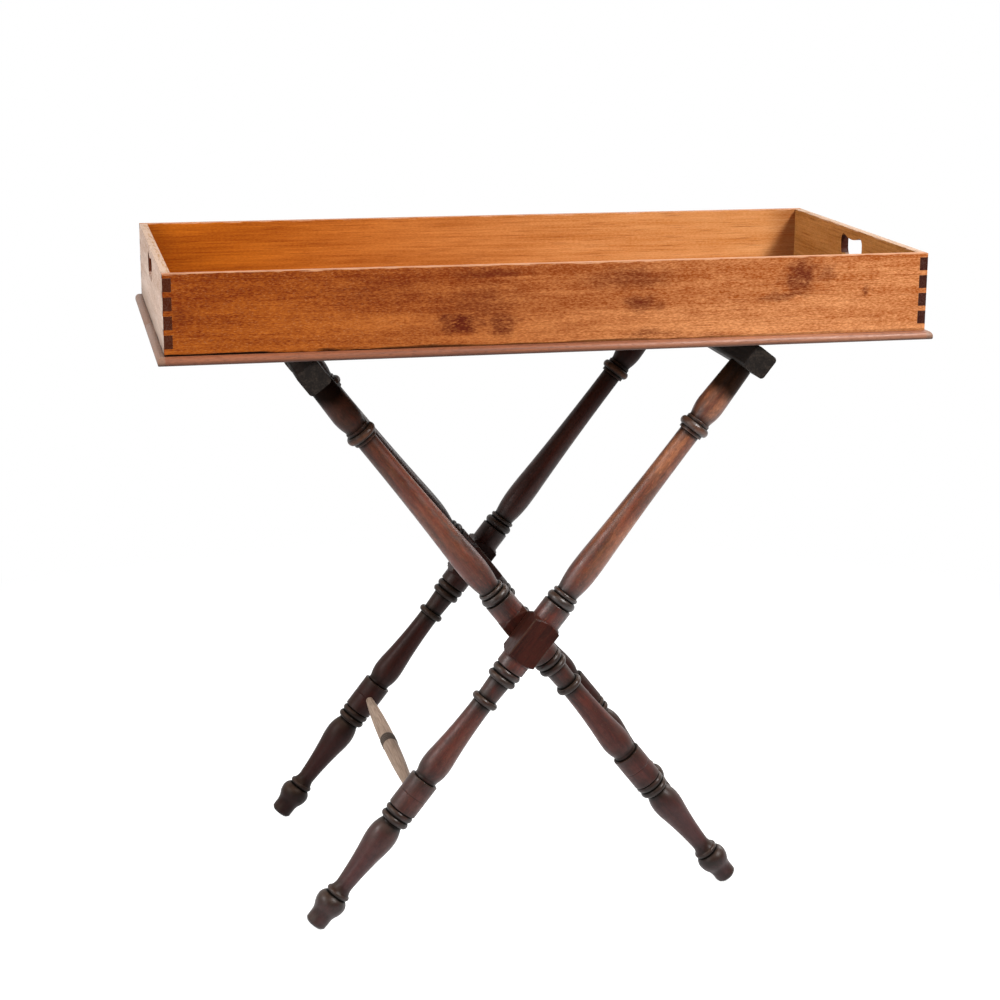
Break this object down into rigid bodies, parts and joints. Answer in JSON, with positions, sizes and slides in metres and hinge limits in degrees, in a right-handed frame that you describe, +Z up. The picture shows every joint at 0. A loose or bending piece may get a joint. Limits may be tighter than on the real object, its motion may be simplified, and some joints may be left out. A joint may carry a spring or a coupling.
{
  "type": "butler's tray table",
  "caption": "Deep rectangular wooden tray with dovetailed corners and hand-holds, carried on webbing straps across a folding cross-legged stand of turned legs.",
  "frame": {"origin": "on the floor, under the middle of the tray", "axes": "+X along the tray to the right, +Y to the back, +Z up; the front faces -Y"},
  "size_m": [0.93, 0.476, 0.829],
  "materials": {
    "tray_wood": "worn satin",
    "floor_wood": "worn matt",
    "leg_wood": "aged polish",
    "rail_wood": "dark stain, matt",
    "stretcher_wood": "faded, matt",
    "webbing": "woven, matt",
    "brass": "tarnished",
    "steel": "dull"
  },
  "bodies": {
    "outer_frame": {"outer_front_leg": "leg_wood", "outer_rear_leg": "leg_wood", "outer_top_rail": "rail_wood", "outer_stretcher": "stretcher_wood", "front_pivot_pin": "steel", "rear_pivot_pin": "steel", "outer_rail_tacks": "brass"},
    "inner_frame": {"inner_front_leg": "leg_wood", "inner_rear_leg": "leg_wood", "inner_top_rail": "rail_wood", "inner_stretcher": "stretcher_wood", "inner_rail_tacks": "brass"},
    "webbing": {"front_webbing_strap": "webbing", "rear_webbing_strap": "webbing"},
    "tray": {"tray_front": "tray_wood", "tray_back": "tray_wood", "tray_left_end": "tray_wood", "tray_right_end": "tray_wood", "tray_floor_front": "floor_wood", "tray_floor_rear": "floor_wood", "tray_floor_screws": "steel"}
  },
  "joints": [
    {"name": "stand_fold", "type": "hinge", "parent": "outer_frame", "child": "inner_frame", "pos_m": [-0.0195, 0, 0.3577], "axis": [0, 1, 0], "range_deg": [0, 68.7], "deforming": ["front_webbing_strap", "rear_webbing_strap"]},
    {"name": "webbing_rise", "type": "slide", "parent": "outer_frame", "child": "webbing", "axis": [0, 0, 1], "range_m": [0, 0.37], "deforming": ["front_webbing_strap", "rear_webbing_strap"]},
    {"name": "tray_lift", "type": "slide", "parent": "webbing", "child": "tray", "axis": [0, 0, 1], "range_m": [0, 0.3]}
  ],
  "couplings": [
    {"joint": "webbing_rise", "follows": "stand_fold", "m_per_rad": 0.3}
  ]
}
